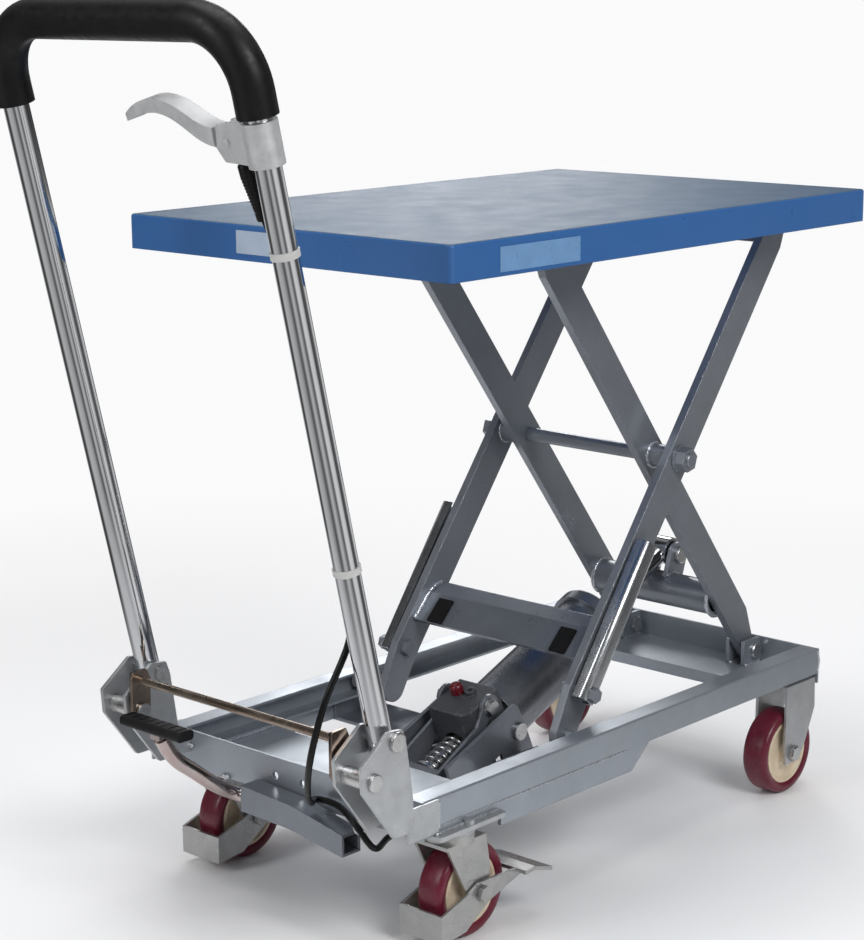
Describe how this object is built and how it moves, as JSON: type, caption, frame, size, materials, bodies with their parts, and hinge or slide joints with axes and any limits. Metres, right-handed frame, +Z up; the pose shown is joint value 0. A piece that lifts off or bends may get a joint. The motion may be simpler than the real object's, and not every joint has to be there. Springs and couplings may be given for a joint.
{
  "type": "scissor lift table",
  "caption": "Mobile scissor lift table with a flat load deck, foot-pumped hydraulic cylinder, folding push handle with hand release lever, fixed front wheels and braked swivel casters.",
  "frame": {"origin": "on the floor at the centre of the outline seen from above", "axes": "+X towards the front, away from the push handle; +Y to the left; +Z up, out of the load deck"},
  "size_m": [0.9218, 0.45, 0.9351],
  "materials": {
    "paint_silver": "fine metallic silver-grey paint",
    "paint_arm": "metallic grey paint, darker",
    "paint_dark": "dark grey pump paint",
    "paint_blue": "semi-gloss blue powder coat",
    "zinc": "bright zinc plate",
    "chrome": "chrome plate",
    "steel": "plain ground steel",
    "grip": "matt black foam rubber",
    "rubber": "black rubber",
    "cable": "black cable sheath",
    "red_cap": "red plastic",
    "cast": "sand-cast aluminium",
    "tread": "wine red polyurethane over a cream core",
    "roller": "hard plastic roller"
  },
  "bodies": {
    "chassis": {"side_channel_left": "paint_silver", "side_channel_right": "paint_silver", "front_cross_member": "paint_silver", "pivot_brackets": "paint_silver", "pivot_pins": "zinc", "deck_plate": "paint_silver", "end_plate": "paint_silver", "front_forks": "zinc", "front_axles": "zinc", "caster_plates": "zinc", "handle_brackets": "zinc", "latch_pins": "chrome", "chassis_bolts": "zinc", "pump_support": "paint_dark", "pump_block": "paint_dark", "filler_cap": "red_cap", "cable_lower": "cable"},
    "lift_cylinder": {"reservoir_tube": "paint_arm", "inner_cylinder": "steel", "gland_cap": "paint_arm"},
    "piston": {"piston_rod": "chrome"},
    "foot_lever": {"pedal_lever": "paint_dark", "pedal_bar": "chrome", "pedal_pad": "rubber"},
    "pump_plunger": {"plunger": "steel", "plunger_spring": "steel"},
    "release_valve": {"valve_lever": "zinc"},
    "push_handle": {"handle_tube": "chrome", "handle_grip": "grip", "lever_bracket": "cast", "cable_upper": "cable"},
    "release_lever": {"hand_lever": "cast"},
    "handle_latch": {"latch": "zinc"},
    "inner_arms": {"inner_arm_left": "paint_arm", "inner_arm_right": "paint_arm", "torsion_tube": "paint_silver", "clevis_ears": "paint_arm", "clevis_pin": "zinc", "centre_shaft": "paint_arm"},
    "outer_arms": {"outer_arm_left": "paint_arm", "outer_arm_right": "paint_arm", "crossbar": "paint_arm", "buffer_pads": "rubber", "top_rod": "paint_arm"},
    "table": {"table_tray": "paint_blue", "table_rails": "paint_arm"},
    "lower_roller_left": {"roller_lower_left": "roller"},
    "lower_roller_right": {"roller_lower_right": "roller"},
    "upper_roller_left": {"roller_upper_left": "roller"},
    "upper_roller_right": {"roller_upper_right": "roller"},
    "prop_left": {"safety_bar_left": "zinc"},
    "prop_right": {"safety_bar_right": "zinc"},
    "caster_left": {"caster_fork_left": "zinc"},
    "caster_right": {"caster_fork_right": "zinc"},
    "rear_wheel_left": {"caster_wheel_left": "tread"},
    "rear_wheel_right": {"caster_wheel_right": "tread"},
    "brake_left": {"caster_brake_left": "zinc"},
    "brake_right": {"caster_brake_right": "zinc"},
    "wheel_front_left": {"front_wheel_left": "tread"},
    "wheel_front_right": {"front_wheel_right": "tread"}
  },
  "joints": [
    {"name": "lift", "type": "hinge", "parent": "chassis", "child": "inner_arms", "pos_m": [0.4389, 0, 0.151], "axis": [0, 1, 0], "range_deg": [-43.6, 0]},
    {"name": "scissor_fold", "type": "hinge", "parent": "inner_arms", "child": "outer_arms", "pos_m": [0.24193, 0, 0.4231], "axis": [0, 1, 0], "range_deg": [0, 87.3]},
    {"name": "table_level", "type": "hinge", "parent": "outer_arms", "child": "table", "pos_m": [0.4389, 0, 0.6952], "axis": [0, 1, 0], "range_deg": [-43.65, 0]},
    {"name": "cylinder_tilt", "type": "hinge", "parent": "chassis", "child": "lift_cylinder", "pos_m": [0.0644, 0, 0.1316], "axis": [0, 1, 0], "range_deg": [-0.05, 6.15]},
    {"name": "piston_stroke", "type": "slide", "parent": "lift_cylinder", "child": "piston", "axis": [0.9242, 0, 0.3819], "range_m": [-0.0819, 0]},
    {"name": "pedal", "type": "hinge", "parent": "chassis", "child": "foot_lever", "pos_m": [0.03437, 0, 0.16352], "axis": [0, -1, 0], "range_deg": [0, 14]},
    {"name": "plunger_stroke", "type": "slide", "parent": "chassis", "child": "pump_plunger", "axis": [0.9278, 0, 0.373], "range_m": [0, 0.011]},
    {"name": "hand_release", "type": "hinge", "parent": "push_handle", "child": "release_lever", "pos_m": [-0.41783, -0.134, 0.81418], "axis": [0.9732, 0, 0.23], "range_deg": [0, 18]},
    {"name": "valve_turn", "type": "hinge", "parent": "chassis", "child": "release_valve", "pos_m": [0.01664, -0.019, 0.10574], "axis": [-0.9278, 0, -0.373], "range_deg": [0, 20]},
    {"name": "handle_fold", "type": "hinge", "parent": "chassis", "child": "push_handle", "pos_m": [-0.2821, 0, 0.24], "axis": [0, 1, 0], "range_deg": [0, 15]},
    {"name": "latch_release", "type": "hinge", "parent": "chassis", "child": "handle_latch", "pos_m": [-0.3131, 0, 0.207], "axis": [0, 1, 0], "range_deg": [0, 12]},
    {"name": "roller_spin_lower_left", "type": "hinge", "parent": "outer_arms", "child": "lower_roller_left", "pos_m": [0.04496, 0.167, 0.151], "axis": [0, 1, 0], "continuous": true},
    {"name": "roller_spin_lower_right", "type": "hinge", "parent": "outer_arms", "child": "lower_roller_right", "pos_m": [0.04496, -0.167, 0.151], "axis": [0, 1, 0], "continuous": true},
    {"name": "roller_spin_upper_left", "type": "hinge", "parent": "inner_arms", "child": "upper_roller_left", "pos_m": [0.04496, 0.107, 0.6952], "axis": [0, 1, 0], "continuous": true},
    {"name": "roller_spin_upper_right", "type": "hinge", "parent": "inner_arms", "child": "upper_roller_right", "pos_m": [0.04496, -0.107, 0.6952], "axis": [0, 1, 0], "continuous": true},
    {"name": "prop_swing_left", "type": "hinge", "parent": "outer_arms", "child": "prop_left", "pos_m": [0.0649, 0.14, 0.195], "axis": [0, -1, 0], "range_deg": [0, 120]},
    {"name": "prop_swing_right", "type": "hinge", "parent": "outer_arms", "child": "prop_right", "pos_m": [0.0649, -0.14, 0.195], "axis": [0, -1, 0], "range_deg": [0, 120]},
    {"name": "swivel_left", "type": "hinge", "parent": "chassis", "child": "caster_left", "pos_m": [-0.1791, 0.163, 0.12], "axis": [0, 0, 1], "continuous": true},
    {"name": "swivel_right", "type": "hinge", "parent": "chassis", "child": "caster_right", "pos_m": [-0.1791, -0.163, 0.12], "axis": [0, 0, 1], "continuous": true},
    {"name": "rear_roll_left", "type": "hinge", "parent": "caster_left", "child": "rear_wheel_left", "pos_m": [-0.1611, 0.163, 0.05], "axis": [0, 1, 0], "continuous": true},
    {"name": "rear_roll_right", "type": "hinge", "parent": "caster_right", "child": "rear_wheel_right", "pos_m": [-0.1611, -0.163, 0.05], "axis": [0, 1, 0], "continuous": true},
    {"name": "brake_press_left", "type": "hinge", "parent": "caster_left", "child": "brake_left", "pos_m": [-0.1611, 0.163, 0.05], "axis": [0, 1, 0], "range_deg": [0, 12]},
    {"name": "brake_press_right", "type": "hinge", "parent": "caster_right", "child": "brake_right", "pos_m": [-0.1611, -0.163, 0.05], "axis": [0, 1, 0], "range_deg": [0, 12]},
    {"name": "front_roll_left", "type": "hinge", "parent": "chassis", "child": "wheel_front_left", "pos_m": [0.4009, 0.165, 0.05], "axis": [0, 1, 0], "continuous": true},
    {"name": "front_roll_right", "type": "hinge", "parent": "chassis", "child": "wheel_front_right", "pos_m": [0.4009, -0.165, 0.05], "axis": [0, 1, 0], "continuous": true}
  ],
  "couplings": [
    {"joint": "scissor_fold", "follows": "lift", "ratio": -2},
    {"joint": "table_level", "follows": "lift", "ratio": 1},
    {"joint": "cylinder_tilt", "follows": "lift", "ratio": -0.1398},
    {"joint": "piston_stroke", "follows": "lift", "m_per_rad": 0.10741},
    {"joint": "plunger_stroke", "follows": "pedal", "m_per_rad": 0.0445},
    {"joint": "valve_turn", "follows": "hand_release", "ratio": 1.1}
  ]
}
